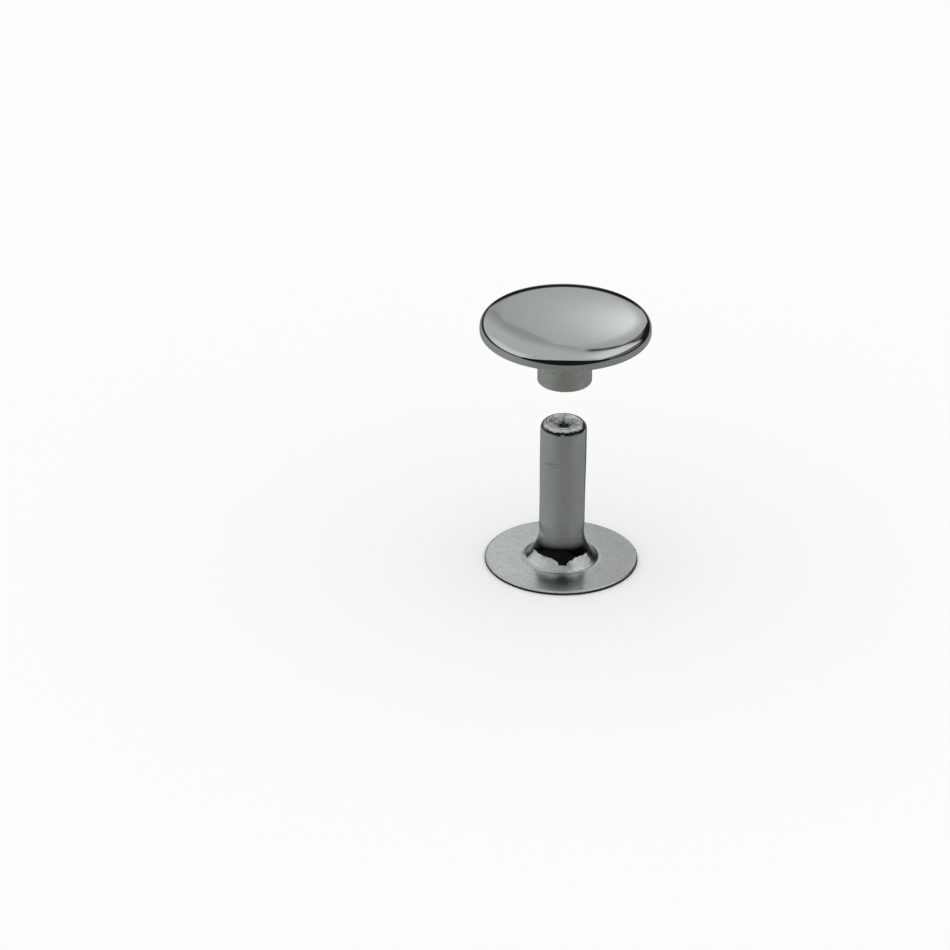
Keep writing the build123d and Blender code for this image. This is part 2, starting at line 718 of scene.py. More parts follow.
@dataclass(frozen=True)
class RootPaintedReflection(Mark):
    """Painted reflection: black painted round the root of the shank, where the dark studio shows in
    the metal, with a ragged foot and a tongue down the collar in front.

    Attributes:
        foot: height of its foot.
        fade: span of heights over which it ends upwards.
        foot_edge: height over which it starts at its foot.
        ragged: how far the foot wanders up and down.
        ragged_scale: of that wandering.
        tongue: how far it runs down the collar in front.
        tongue_east: hump of the tongue from west to east.
        tongue_ragged: how far the tongue's sides wander.
        tongue_gain: how much the tongue's hump is raised, to flatten its end.
        front: span over which the tongue ends towards the back.
        outside: span of distances from the axis, which keeps it off the bore.
        gain: how much it is raised, to flatten its middle.
        tone: how dark it is.
        stains: how much a noise darkens the painted reflection further, unevenly.
        stain_scale: of that noise.
    """

    foot: float = 0.76 * MM
    fade: tuple[float, float] = (0.76 * MM, 1.95 * MM)
    foot_edge: float = 0.06 * MM
    ragged: float = 0.16 * MM
    ragged_scale: float = 3600.0
    tongue: float = 0.28 * MM
    tongue_east: tuple[float, float] = (0.08 * MM, 0.33 * MM)
    tongue_ragged: float = 0.5 * MM
    tongue_gain: float = 1.5
    front: tuple[float, float] = (-0.4 * MM, 0.0)
    outside: tuple[float, float] = (1.12 * MM, 1.18 * MM)
    gain: float = 1.35
    tone: float = PAINTED_REFLECTION_TONE
    stains: float = 0.5
    stain_scale: float = STAIN_SCALE

    def apply(self, nodes: Nodes, spot: Spot, skin: Skin) -> None:
        """Adds the painted reflection.

        Args:
            nodes: the material's nodes.
            spot: where the point lies.
            skin: the surface so far.
        """
        front = 1 - nodes.step(spot.north, *self.front)
        ragged = nodes.noise(spot.place, self.ragged_scale, Detail.RAGGED) - NOISE_MEAN
        tongue = (spot.east + self.tongue_ragged * ragged).bell(*self.tongue_east)
        tongue = self.tongue * front * (self.tongue_gain * tongue).least(1.0)
        foot = self.foot - tongue + self.ragged * ragged
        root = nodes.step(spot.up, foot, foot + self.foot_edge)
        root = root * (1 - nodes.step(spot.up, *self.fade))
        root = (self.gain * root).least(1.0) * nodes.step(spot.across, *self.outside)
        stains = nodes.noise(spot.place, self.stain_scale, Detail.RAGGED)
        # Painted reflection: the root is painted near-black all round, and darker still in noisy
        # patches.
        skin.darken(self.tone * root)
        skin.darken(self.stains * root * stains)


@dataclass(frozen=True)
class CollarSkin(Mark):
    """The collar's uneven, stained skin.

    Attributes:
        levels: lowest and highest level, and half the width of their soft edges.
        tarnish: how much darker the collar is.
        stains: how much the stains darken it.
        clean: noise up to which the metal has no stain.
        stain_scale: of the stains.
        height: of the unevenness, in metres.
        height_scale: of the unevenness.
    """

    levels: tuple[float, float, float] = (0.28 * MM, 0.78 * MM, 0.08 * MM)
    tarnish: float = 0.12
    stains: float = 0.9
    clean: float = 0.45
    stain_scale: float = STAIN_SCALE
    height: float = 0.04 * MM
    height_scale: float = 1900.0

    def apply(self, nodes: Nodes, spot: Spot, skin: Skin) -> None:
        """Adds the stains and the unevenness.

        Args:
            nodes: the material's nodes.
            spot: where the point lies.
            skin: the surface so far.
        """
        collar = nodes.band(spot.up, *self.levels)
        stains = nodes.noise(spot.place, self.stain_scale, Detail.RAGGED)
        blobs = nodes.noise(spot.place, self.height_scale, Detail.SMOOTH)
        skin.darken(collar * (self.tarnish + self.stains * (stains - self.clean).most(0.0)))
        skin.height = skin.height + self.height * collar * blobs


@dataclass(frozen=True)
class ShoulderPaintedReflection(Mark):
    """Painted reflection: a ragged dark ring painted round the tip's shoulder, fainter at the back.

    Attributes:
        ring: hump of its height.
        wander: how far it wanders up and down.
        wander_scale: of that wandering.
        ragged: how far its edge is torn.
        ragged_scale: of the tears.
        gain: how much the hump is raised, to flatten its middle.
        outside: span of distances from the axis, which keeps it off the petals.
        back: span over which it becomes fainter.
        back_fade: how much fainter it is there.
        tone: how dark it is.
    """

    ring: tuple[float, float] = (8.04 * MM, 0.070 * MM)
    wander: float = 0.14 * MM
    wander_scale: float = WANDER_SCALE
    ragged: float = 0.10 * MM
    ragged_scale: float = 9000.0
    gain: float = 1.5
    outside: tuple[float, float] = (1.0 * MM, 1.05 * MM)
    back: tuple[float, float] = (-0.9 * MM, -0.2 * MM)
    back_fade: float = 0.35
    tone: float = PAINTED_REFLECTION_TONE

    def apply(self, nodes: Nodes, spot: Spot, skin: Skin) -> None:
        """Adds the painted reflection.

        Args:
            nodes: the material's nodes.
            spot: where the point lies.
            skin: the surface so far.
        """
        wander = nodes.noise(spot.place, self.wander_scale, Detail.ROUGH) - NOISE_MEAN
        ragged = nodes.noise(spot.place, self.ragged_scale, Detail.ROUGH) - NOISE_MEAN
        level = spot.up + self.wander * wander + self.ragged * ragged
        ring = (self.gain * level.bell(*self.ring)).least(1.0)
        ring = ring * nodes.step(spot.across, *self.outside)
        ring = ring * (1 - self.back_fade * nodes.step(spot.north, *self.back))
        # Painted reflection of the dark studio in the tip's shoulder.
        skin.darken(self.tone * ring)


@dataclass(frozen=True)
class LipLine(Mark):
    """A thin dark line that wanders round the tip's top, where its shoulder starts to round.

    Attributes:
        tip: span of heights over which the tip starts.
        line: hump of its distance from the axis.
        wander: how far it wanders.
        wander_scale: of that wandering.
        tone: how dark it is.
    """

    tip: tuple[float, float] = TIP_START
    line: tuple[float, float] = (0.92 * MM, 0.030 * MM)
    wander: float = 0.12 * MM
    wander_scale: float = WANDER_SCALE
    tone: float = 0.75

    def apply(self, nodes: Nodes, spot: Spot, skin: Skin) -> None:
        """Adds the line.

        Args:
            nodes: the material's nodes.
            spot: where the point lies.
            skin: the surface so far.
        """
        tip = nodes.step(spot.up, *self.tip)
        wander = nodes.noise(spot.place, self.wander_scale, Detail.ROUGH) - NOISE_MEAN
        skin.darken(self.tone * (spot.across + self.wander * wander).bell(*self.line) * tip)


@dataclass(frozen=True)
class PetalShadeAndSoil(Mark):
    """Painted shade and soil on the folded petals: darker all over, and with painted shade darker
    towards the hole and in the folds.

    Attributes:
        tip: span of heights over which the tip starts.
        edge: span of distances from the axis over which the soil ends outwards.
        soil: how dark the petals are all over, as painted shade of the recess and soil together.
        depth: painted shade, how much darker it is near the hole.
        deep: span of distances over which that ends.
        dirt: how much it wanders.
        dirt_scale: of that wandering.
        fold: painted shade, how much darker the folds are.
        darkest: limit of it all.
        roughness: how much rougher the petals are.
    """

    tip: tuple[float, float] = TIP_START
    edge: tuple[float, float] = (0.71 * MM, 0.76 * MM)
    soil: float = 0.30
    depth: float = 0.46
    deep: tuple[float, float] = (0.22 * MM, 0.60 * MM)
    dirt: float = 1.6
    dirt_scale: float = 5200.0
    fold: float = 0.25
    darkest: float = 0.92
    roughness: float = 0.18

    def apply(self, nodes: Nodes, spot: Spot, skin: Skin) -> None:
        """Adds the painted shade and the soil.

        Args:
            nodes: the material's nodes.
            spot: where the point lies.
            skin: the surface so far.
        """
        petals = nodes.step(spot.up, *self.tip) * (1 - nodes.step(spot.across, *self.edge))
        dirt = nodes.noise(spot.place, self.dirt_scale, Detail.RAGGED) - NOISE_MEAN
        depth = 1 - nodes.step(spot.across, *self.deep)
        # Painted shade in the recess, deeper near the hole and in the folds, over soil and noise.
        shade = self.soil + self.depth * depth + self.dirt * dirt
        shade = shade + self.fold * nodes.attribute(FOLD_ATTRIBUTE)
        skin.darken(petals * shade.least(self.darkest).most(0.0))
        skin.roughness = skin.roughness + self.roughness * petals


@dataclass(frozen=True)
class Hammering(Mark):
    """Dents and dark spots that hammering left on the tip.

    Attributes:
        tip: span of heights over which the tip starts.
        height: of the dents, in metres.
        dent_scale: of the dents.
        spots: how dark the spots are.
        spot_scale: of the spots.
        clean: noise up to which the metal has no spot.
        roughness: how much rougher the tip is.
    """

    tip: tuple[float, float] = TIP_START
    height: float = 0.028 * MM
    dent_scale: float = 3400.0
    spots: float = 1.5
    spot_scale: float = 4000.0
    clean: float = 0.44
    roughness: float = 0.05

    def apply(self, nodes: Nodes, spot: Spot, skin: Skin) -> None:
        """Adds the dents and the spots.

        Args:
            nodes: the material's nodes.
            spot: where the point lies.
            skin: the surface so far.
        """
        tip = nodes.step(spot.up, *self.tip)
        spots = nodes.noise(spot.place, self.spot_scale, Detail.ROUGH)
        skin.darken(self.spots * tip * (spots - self.clean).most(0.0))
        skin.roughness = skin.roughness + self.roughness * tip
        skin.height = skin.height + self.height * tip * nodes.noise(spot.place, self.dent_scale)


@dataclass(frozen=True)
class MattUnderside(Mark):
    """A matt skin, like an orange's, on the faces that look down.

    Attributes:
        roughness: of the skin.
        peel_roughness: how much the peel adds to it.
        scale: of the peel.
        height: of the peel, in metres.
    """

    roughness: float = 0.42
    peel_roughness: float = 0.1
    scale: float = 7000.0
    height: float = 0.002 * MM

    def apply(self, nodes: Nodes, spot: Spot, skin: Skin) -> None:
        """Puts the matt skin in place of all other bumps.

        Args:
            nodes: the material's nodes.
            spot: where the point lies.
            skin: the surface so far.
        """
        under = nodes.attribute(UNDER_ATTRIBUTE)
        peel = nodes.noise(spot.place, self.scale, Detail.ROUGH)
        skin.height = skin.height * (1 - under) + self.height * under * peel
        matt = self.roughness + self.peel_roughness * peel
        skin.roughness = skin.roughness * (1 - under) + under * matt


def finishes() -> dict[Plating, Nickel]:
    """The three finishes of the rivet.

    Returns:
        Each finish by its plating.
    """
    polished = Nickel(
        Plating.POLISHED,
        tint=(0.725, 0.77, 0.745),
        roughness=0.045,
        marks=(Specks(), Wiping()),
        cloud=0.010,
        grain_height=0.00001 * MM,
    )
    drawn_lines = DrawnLines(
        squeeze=(1.0, 1.0, 0.05), scale=11000.0, height=0.00025 * MM, tone=0.10
    )
    bright = Nickel(
        Plating.BRIGHT,
        tint=(0.75, 0.78, 0.72),
        roughness=0.20,
        marks=(drawn_lines, Mottle()),
    )
    satin = Nickel(
        Plating.SATIN,
        tint=(0.86, 0.91, 0.88),
        roughness=0.18,
        marks=(
            DrawnLines(),
            FlangeGrain(),
            FlangeTarnishAndPaintedShade(),
            Scratches(),
            ShankTarnish(),
            RootPaintedReflection(),
            CollarSkin(),
            ShoulderPaintedReflection(),
            LipLine(),
            PetalShadeAndSoil(),
            Hammering(),
            MattUnderside(),
        ),
        grain_height=0.0003 * MM,
    )
    return {finish.plating: finish for finish in (polished, bright, satin)}


# Turned sheet


@dataclass(frozen=True)
class Corner:
    """A corner of a half section, before it is rounded.

    Attributes:
        across: distance from the axis.
        up: height.
        rounding: radius of the corner.
        run: longest edge on the straight that leaves the corner.
    """

    across: float
    up: float
    rounding: float = 0.0
    run: float = FINE_RUN

    def place(self) -> Vector:
        """The corner in the XZ plane."""
        return Vector((self.across, 0.0, self.up))


class Outline:
    """A half section drawn with a pen: it extrudes the straights and spins the roundings."""

    def __init__(self, mesh: bmesh.types.BMesh) -> None:
        """Starts with an empty pen.

        Args:
            mesh: the mesh to draw in.
        """
        self.mesh = mesh
        self.pen: bmesh.types.BMVert | None = None
        self.first: Vector | None = None

    def draw(self, corners: Sequence[Corner], closed: bool = True) -> None:
        """Draws the whole section.

        Args:
            corners: its corners in order, with the metal always on the same side.
            closed: whether the last corner joins the first.
        """
        count = len(corners)
        for index, corner in enumerate(corners):
            ends = not closed and index in (0, count - 1)
            before = corners[index - 1]
            after = corners[(index + 1) % count]
            self._run_to(*self._entry(before, corner, after, ends), before.run)
            if corner.rounding and not ends:
                self._round(before, corner, after)
        if closed:
            self._run_to(self.first, corners[-1].run)

    @staticmethod
    def _turn(before: Corner, corner: Corner, after: Corner) -> tuple[Vector, float]:
        """Direction in which the pen comes to a corner, and the angle by which it turns there.

        Args:
            before: the corner before.
            corner: the corner.
            after: the corner after.

        Returns:
            The unit direction, and the turn in radians, positive to the left.
        """
        inward = (corner.place() - before.place()).normalized()
        outward = (after.place() - corner.place()).normalized()
        cross = inward.x * outward.z - inward.z * outward.x
        return inward, math.atan2(cross, inward.dot(outward))

    def _entry(self, before: Corner, corner: Corner, after: Corner, ends: bool) -> tuple[Vector]:
        """Where the straight before a corner meets the corner's rounding.

        Args:
            before: the corner before.
            corner: the corner.
            after: the corner after.
            ends: whether the corner is a free end, which has no rounding.

        Returns:
            The one point, as a tuple.
        """
        if ends or not corner.rounding:
            return (corner.place(),)
        inward, turn = self._turn(before, corner, after)
        return (corner.place() - inward * corner.rounding * math.tan(abs(turn) / 2),)

    def _run_to(self, end: Vector, run: float) -> None:
        """Moves the pen along a straight.

        Args:
            end: where the straight ends.
            run: its longest edge.
        """
        if self.pen is None:
            self.pen = bmesh.ops.create_vert(self.mesh, co=end)["vert"][0]
            self.first = end
            return
        start = self.pen.co.copy()
        steps = math.ceil((end - start).length / run)
        for step in range(steps):
            made = bmesh.ops.extrude_vert_indiv(self.mesh, verts=[self.pen])
            self.pen = made["verts"][0]
            self.pen.co = start.lerp(end, (step + 1) / steps)

    def _round(self, before: Corner, corner: Corner, after: Corner) -> None:
        """Spins the pen round a corner.

        Args:
            before: the corner before.
            corner: the corner to round.
            after: the corner after.
        """
        inward, turn = self._turn(before, corner, after)
        left = Vector((-inward.z, 0.0, inward.x))
        centre = self.pen.co + left * math.copysign(corner.rounding, turn)
        made = bmesh.ops.spin(
            self.mesh,
            geom=[self.pen],
            cent=centre,
            axis=(0.0, -1.0, 0.0),
            angle=turn,
            steps=max(LEAST_ARC_STEPS, math.ceil(abs(turn) / ARC_STEP)),
        )
        self.pen = made["geom_last"][0]


def facing(heading: float) -> Vector:
    """Unit vector in the XZ plane, at an angle above the outward horizontal."""
    return Vector((math.cos(heading), 0.0, math.sin(heading)))


def bulge(start: Vector, heading: float, end: Vector) -> tuple[float, float]:
    """Works out the arc that leaves a point in one direction and ends at another point.

    Args:
        start: where the arc leaves.
        heading: its direction there, in radians above the outward horizontal.
        end: where it ends.

    Returns:
        The arc's radius, and its direction at the end.
    """
    chord = end - start
    half_turn = heading - math.atan2(chord.z, chord.x)
    return chord.length / (2 * math.sin(half_turn)), heading - 2 * half_turn


def arc_corner(start: Vector, heading: float, radius: float, turn: float) -> Corner:
    """The corner whose rounding is an arc that bends down from a point.

    Args:
        start: where the arc leaves.
        heading: its direction there.
        radius: of the arc.
        turn: how far it bends down, in radians.

    Returns:
        The corner.
    """
    place = start + facing(heading) * radius * math.tan(turn / 2)
    return Corner(place.x, place.z, radius)


@dataclass
class SheetPiece:
    """A piece drawn from one sheet: its section is spun about the axis, then pressed.

    Attributes:
        node: the CAD node that it replaces.
        body: the body that it moves with.
        finish: its surface.
        facets: steps of the spin.
    """

    node: str
    body: str
    finish: Nickel
    facets: int = FACETS

    def section(self) -> list[Corner]:
        """Corners of the half section."""
        raise NotImplementedError

    def press(self, mesh: bmesh.types.BMesh) -> None:
        """Presses the details that aren't turned, if the piece has any."""

    def build(self) -> bpy.types.Object:
        """Spins, presses and dresses the piece.

        Returns:
            The finished object, in place of its CAD node.
        """
        mesh = bmesh.new()
        Outline(mesh).draw(self.section(), closed=self.is_closed())
        bmesh.ops.spin(
            mesh,
            geom=[*mesh.verts, *mesh.edges],
            cent=(0.0, 0.0, 0.0),
            axis=(0.0, 0.0, 1.0),
            angle=math.tau,
            steps=self.facets,
            use_merge=True,
        )
        bmesh.ops.remove_doubles(mesh, verts=mesh.verts, dist=MERGE_DISTANCE)
        mesh.verts.layers.float.new(FOLD_ATTRIBUTE)
        self.press(mesh)
        bmesh.ops.recalc_face_normals(mesh, faces=mesh.faces)
        for face in mesh.faces:
            face.smooth = True
        data = bpy.data.meshes.new(f"{self.node}_sheet")
        self._mark_under(mesh)
        mesh.to_mesh(data)
        mesh.free()
        piece = bpy.data.objects.new(f"{self.node}_sheet", data)
        bpy.context.scene.collection.objects.link(piece)
        data.materials.append(self.finish.material())
        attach(piece, self.body)
        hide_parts(self.node)
        return piece

    def is_closed(self) -> bool:
        """Whether the section is a ring that stands clear of the axis."""
        return True

    def _mark_under(self, mesh: bmesh.types.BMesh) -> None:
        """Marks how far each point faces down, for the matt side of the sheet.

        Args:
            mesh: the finished mesh.
        """
        mesh.normal_update()
        layer = mesh.verts.layers.float.new(UNDER_ATTRIBUTE)
        for vert in mesh.verts:
            vert[layer] = min(1.0, max(0.0, -vert.normal.z * UNDER_GAIN))


@dataclass
class Post(SheetPiece):
    """The hollow post: thin flange, collar, tubular shank, and a tip folded into petals.

    The fields are its sizes, as on a drawing of the section; see the names.
    """

    flange_radius: float = 4.05 * MM
    flange_thickness: float = 0.22 * MM
    flange_under_rounding: float = 0.06 * MM
    flange_top_rounding: float = 0.10 * MM
    collar_foot_radius: float = 1.93 * MM
    collar_foot_rounding: float = 0.38 * MM
    root_radius: float = 1.49 * MM
    root_rise: float = 0.53 * MM
    root_rounding: float = 0.15 * MM
    flare_rise: float = 1.08 * MM
    flare_rounding: float = 1.80 * MM
    height: float = 8.25 * MM
    shank_radius: float = 1.20 * MM
    full_radius: float = 1.225 * MM
    full_start: float = 5.9 * MM
    swell_length: float = 1.9 * MM
    bore_radius: float = 0.95 * MM
    funnel_rounding: float = 1.45 * MM
    shoulder_depth: float = 0.05 * MM
    shoulder_rounding: float = 0.42 * MM
    lip_radius: float = 0.80 * MM
    lip_rounding: float = 0.06 * MM
    recess_radius: float = 0.74 * MM
    recess_depth: float = 0.10 * MM
    recess_rounding: float = 0.06 * MM
    hole_radius: float = 0.24 * MM
    hole_depth: float = 0.26 * MM
    petal_thickness: float = 0.22 * MM
    petal_rounding: float = 0.04 * MM
    fold_rounding: float = 0.18 * MM
    petal_count: int = 5
    pleat_turn: float = 18 * DEGREE
    pleat_start: float = 0.68 * MM
    pleat_outer_width: float = 0.28 * MM
    pleat_inner_width: float = 0.16 * MM
    pleat_outer_depth: float = 0.05 * MM
    pleat_inner_depth: float = 0.18 * MM
    slit_opening: float = 0.06 * MM

    def section(self) -> list[Corner]:
        """Corners of the half section, from the bore's foot round the sheet and back.

        Returns:
            The corners, in order.
        """
        hole_top = self.height - self.hole_depth
        hole_bottom = hole_top - self.petal_thickness
        return [
            Corner(self.bore_radius, 0.0, self.funnel_rounding),
            Corner(self.flange_radius, 0.0, self.flange_under_rounding),
            Corner(self.flange_radius, self.flange_thickness, self.flange_top_rounding),
            Corner(self.collar_foot_radius, self.flange_thickness, self.collar_foot_rounding),
            Corner(self.root_radius, self.flange_thickness + self.root_rise, self.root_rounding),
            Corner(
                self.shank_radius,
                self.flange_thickness + self.flare_rise,
                self.flare_rounding,
                COARSE_RUN,
            ),
            Corner(self.shank_radius, self.full_start - self.swell_length, 0.0, COARSE_RUN),
            Corner(self.full_radius, self.full_start, 0.0, COARSE_RUN),
            Corner(
                self.full_radius,
                self.height - self.shoulder_depth,
                self.shoulder_rounding,
            ),
            Corner(self.lip_radius, self.height, self.lip_rounding),
            Corner(self.recess_radius, self.height - self.recess_depth, self.recess_rounding),
            Corner(self.hole_radius, hole_top, self.petal_rounding),
            Corner(self.hole_radius, hole_bottom, self.petal_rounding),
            Corner(self.bore_radius, hole_bottom, self.fold_rounding, COARSE_RUN),
        ]

    def press(self, mesh: bmesh.types.BMesh) -> None:
        """Presses the pleats between the petals and opens the hole into a star.

        Args:
            mesh: the spun mesh.
        """
        folds = mesh.verts.layers.float[FOLD_ATTRIBUTE]
        hole_top = self.height - self.hole_depth
        inside = self.hole_radius + self.petal_rounding
        for vert in mesh.verts:
            across = math.hypot(vert.co.x, vert.co.y)
            if vert.co.z < hole_top - self.petal_thickness - self.fold_rounding:
                continue
            if across > self.recess_radius:
                continue
            nearness = self._pleat_nearness(vert.co, across)
            vert[folds] = nearness
            if across <= inside:
                grown = 1 + nearness * self.slit_opening / across
                vert.co.x *= grown
                vert.co.y *= grown
            if across < self.pleat_start and vert.co.z > hole_top - self.petal_thickness / 2:
                vert.co.z -= nearness * self._pleat_depth(across)

    def _pleat_nearness(self, place: Vector, across: float) -> float:
        """How near a point lies to the nearest pleat line: 1 on it, 0 at its sides.

        Args:
            place: the point.
            across: its distance from the axis.

        Returns:
            The nearness.
        """
        pitch = math.tau / self.petal_count
        angle = math.atan2(place.y, place.x) - self.pleat_turn
        offset = (angle + pitch / 2) % pitch - pitch / 2
        share = across / self.pleat_start
        width = self.pleat_inner_width + share * (self.pleat_outer_width - self.pleat_inner_width)
        return max(0.0, 1 - abs(math.sin(offset)) * across / (width / 2))

    def _pleat_depth(self, across: float) -> float:
        """Depth of a pleat at a distance from the axis."""
        share = across / self.pleat_start
        return self.pleat_inner_depth + share * (self.pleat_outer_depth - self.pleat_inner_depth)


@dataclass
class CapSocket(SheetPiece):
    """The cap's socket: a tube drawn in at its mouth, and a flange with a hub and creases."""

    mouth_level: float = 10.63 * MM
    mouth_radius: float = 1.26 * MM
    mouth_draw: float = 0.025 * MM
    mouth_lip_height: float = 0.15 * MM
    mouth_lip_run: float = 0.20 * MM
    mouth_rounding: float = 0.11 * MM
    mouth_inner_rounding: float = 0.04 * MM
    reach: float = 2.76 * MM
    wall: float = 0.15 * MM
    sheet: float = 0.18 * MM
    curl_sheet: float = 0.20 * MM
    edge_radius: float = 4.24 * MM
    hub_width: float = 0.505 * MM
    hub_step: float = 0.14 * MM
    step_run: float = 0.62 * MM
    foot_rounding: float = 0.26 * MM
    hub_rounding: float = 0.14 * MM
    step_rounding: float = 0.30 * MM
    turn_rounding: float = 0.14 * MM
    edge_rounding: float = 0.05 * MM
    crease_count: int = 9
    crease_turn: float = 17 * DEGREE
    crease_width: float = 0.36 * MM
    crease_height: float = 0.08 * MM
    crease_end: float = 3.60 * MM

    @property
    def flange_level(self) -> float:
        """Height of the flange's lower face."""
        return self.mouth_level + self.reach + self.curl_sheet

    @property
    def hub_radius(self) -> float:
        """Radius of the hub's edge."""
        return self.mouth_radius + self.mouth_draw + self.wall + self.hub_width

    def section(self) -> list[Corner]:
        """Corners of the half section, from the mouth up the outside and down the bore.

        Returns:
            The corners, in order.
        """
        bore = self.mouth_radius + self.mouth_draw
        hub = self.flange_level - self.hub_step
        top = self.flange_level + self.sheet
        step_end = self.hub_radius + self.step_run
        lip_top = self.mouth_level + self.mouth_lip_height
        return [
            Corner(self.mouth_radius, self.mouth_level, self.mouth_inner_rounding),
            Corner(bore + self.wall, self.mouth_level, self.mouth_rounding, COARSE_RUN),
            Corner(bore + self.wall, hub, self.foot_rounding),
            Corner(self.hub_radius, hub, self.hub_rounding),
            Corner(step_end, self.flange_level, self.step_rounding),
            Corner(self.edge_radius, self.flange_level, self.edge_rounding),
            Corner(self.edge_radius, top, self.edge_rounding),
            Corner(step_end, top, self.step_rounding),
            Corner(self.hub_radius, hub + self.sheet, self.hub_rounding),
            Corner(bore, hub + self.sheet, self.turn_rounding, COARSE_RUN),
            Corner(bore, lip_top + self.mouth_lip_run),
            Corner(self.mouth_radius, lip_top),
        ]

    def press(self, mesh: bmesh.types.BMesh) -> None:
        """Presses the radial creases into the flange's lower face.

        Args:
            mesh: the spun mesh.
        """
        pitch = math.tau / self.crease_count
        middle = self.flange_level + self.sheet / 2
        for vert in mesh.verts:
            across = math.hypot(vert.co.x, vert.co.y)
            if not self.hub_radius < across < self.crease_end or vert.co.z > middle:
                continue
            angle = math.atan2(vert.co.y, vert.co.x) - self.crease_turn
            offset = (angle + pitch / 2) % pitch - pitch / 2
            nearness = 1 - abs(math.sin(offset)) * across / (self.crease_width / 2)
            vert.co.z = min(vert.co.z, self.flange_level - nearness * self.crease_height)


@dataclass
class CapShell(SheetPiece):
    """The cap's shell: a polished, slightly domed face whose rim is curled under."""

    radius: float = 4.50 * MM
    sheet: float = 0.20 * MM
    curl_level: float = 13.39 * MM
    rim_height: float = 0.70 * MM
    crown_radius: float = 3.30 * MM
    crown_drop: float = 0.14 * MM
    face_rise: float = 0.44 * MM
    edge_rounding: float = 0.50 * MM
    inner_rounding: float = 0.16 * MM
    curl_width: float = 0.85 * MM
    curl_rounding: float = 0.17 * MM
    curl_inner_rounding: float = 0.04 * MM
    curl_end_rounding: float = 0.08 * MM

    def is_closed(self) -> bool:
        """The section starts and ends on the axis."""
        return False

    def _face(self, edge: float, lowered: float, rounding: float) -> list[Corner]:
        """Corners of the face's two arcs and of its edge, from the axis outwards.

        Args:
            edge: radius of the wall that the face rounds into.
            lowered: how far the arcs lie under the outer face.
            rounding: radius between the face and the wall.

        Returns:
            The start on the axis, a corner for each arc, and the edge.
        """
        crown = self.curl_level + self.rim_height + self.face_rise - lowered
        start = Vector((0.0, 0.0, crown))
        joint = Vector((self.crown_radius, 0.0, crown - self.crown_drop))
        end = Vector((edge, 0.0, crown - self.face_rise))
        crown_arc, slope = bulge(start, 0.0, joint)
        shoulder_arc, _ = bulge(joint, slope, end)
        centre = joint + facing(slope - math.pi / 2) * shoulder_arc
        across = edge - rounding - centre.x
        normal = math.acos(across / (shoulder_arc - rounding))
        leaving = normal - math.pi / 2
        tangent = centre + facing(normal) * shoulder_arc
        rim = tangent + facing(leaving) * (edge - tangent.x) / math.cos(leaving)
        return [
            Corner(start.x, start.z),
            arc_corner(start, 0.0, crown_arc, -slope),
            arc_corner(joint, slope, shoulder_arc, slope - leaving),
            Corner(rim.x, rim.z, rounding),
        ]

    def section(self) -> list[Corner]:
        """Corners of the half section, from the middle of the face round the curl to the inside.

        Returns:
            The corners, in order.
        """
        inner = self.radius - self.sheet
        curl_end = self.radius - self.curl_width
        curl_top = self.curl_level + self.sheet
        return [
            *self._face(self.radius, 0.0, self.edge_rounding),
            Corner(self.radius, self.curl_level, self.curl_rounding),
            Corner(curl_end, self.curl_level, self.curl_end_rounding),
            Corner(curl_end, curl_top, self.curl_end_rounding),
            Corner(inner, curl_top, self.curl_inner_rounding),
            *reversed(self._face(inner, self.sheet, self.inner_rounding)),
        ]


# Studio


@dataclass(frozen=True)
class Shot:
    """The camera's place.

    Attributes:
        elevation: above the horizon.
        roll: turn of the camera about its line of sight.
        distance: to the aim.
        scale: pixels to the metre at the aim.
        aim_height: height on the rivet's axis that is aimed at.
        aim_pixel: where in the picture that point lies.
        picture: width and height of the picture in pixels.
        sensor: width of the sensor in millimetres.
        clip: nearest and farthest distance that the camera sees.
    """

    elevation: float = 27.8 * DEGREE
    roll: float = 0.8 * DEGREE
    distance: float = 0.40
    scale: float = 19020.0
    aim_height: float = 7.15 * MM
    aim_pixel: tuple[float, float] = (563.4, 439.4)
    picture: float = 950.0
    sensor: float = 36.0
    clip: tuple[float, float] = (0.01, 10.0)

    def place_camera(self) -> bpy.types.Object:
        """Makes the scene's camera.

        Returns:
            The camera.
        """
        data = bpy.data.cameras.new("camera")
        data.sensor_width = self.sensor
        data.lens = self.scale * self.distance * self.sensor / self.picture
        data.clip_start, data.clip_end = self.clip
        camera = bpy.data.objects.new("camera", data)
        bpy.context.scene.collection.objects.link(camera)
        back = Vector((0.0, -math.cos(self.elevation), math.sin(self.elevation)))
        turn = back.to_track_quat("Z", "Y").to_matrix() @ Matrix.Rotation(self.roll, 3, "Z")
        right, up = turn.col[0], turn.col[1]
        across = (self.aim_pixel[0] - self.picture / 2) / self.scale
        above = (self.picture / 2 - self.aim_pixel[1]) / self.scale
        place = Vector((0.0, 0.0, self.aim_height)) + back * self.distance
        place = place - right * across - up * above
        camera.matrix_world = Matrix.Translation(place) @ turn.to_4x4()
        bpy.context.scene.camera = camera
        return camera


def rectangle(size: tuple[float, float], turn: float, middle: Vector) -> bmesh.types.BMesh:
    """Makes a flat rectangle.

    Args:
        size: its width, and its length before the turn.
        turn: its turn about the X axis; 0 is level.
        middle: its middle.

    Returns:
        The mesh.
    """
    mesh = bmesh.new()
    bmesh.ops.create_grid(mesh, x_segments=1, y_segments=1, size=0.5)
    bmesh.ops.scale(mesh, verts=mesh.verts, vec=(*size, 1.0))
    bmesh.ops.rotate(mesh, verts=mesh.verts, matrix=Matrix.Rotation(turn, 3, "X"))
    bmesh.ops.translate(mesh, verts=mesh.verts, vec=middle)
    return mesh


